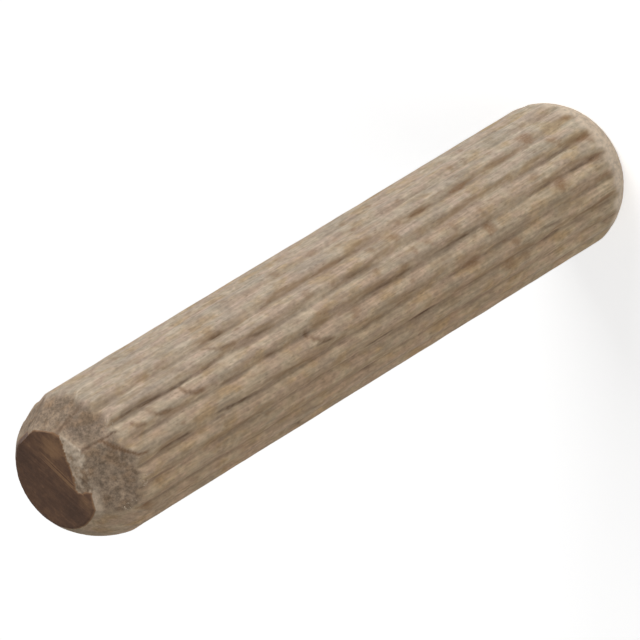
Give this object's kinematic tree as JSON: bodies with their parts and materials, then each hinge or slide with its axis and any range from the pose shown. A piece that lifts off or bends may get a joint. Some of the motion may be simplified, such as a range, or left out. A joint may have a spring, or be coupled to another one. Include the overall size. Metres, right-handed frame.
{
  "type": "dowel pin",
  "caption": "Fluted wooden dowel pin with crowned ends, one of them sawn and trimmed with flats, for pinning and gluing two boards together.",
  "frame": {"origin": "centre of the plain end face, which the dowel stands on", "axes": "+Z along the dowel's axis towards the sawn end, -Y towards the side with the trimmed flats and the chip"},
  "size_m": [0.008, 0.008, 0.04],
  "materials": {
    "beech": "raw wood, lightly milled, with one saw-scorched end"
  },
  "bodies": {
    "root": {"dowel_pin": "beech"}
  },
  "joints": []
}
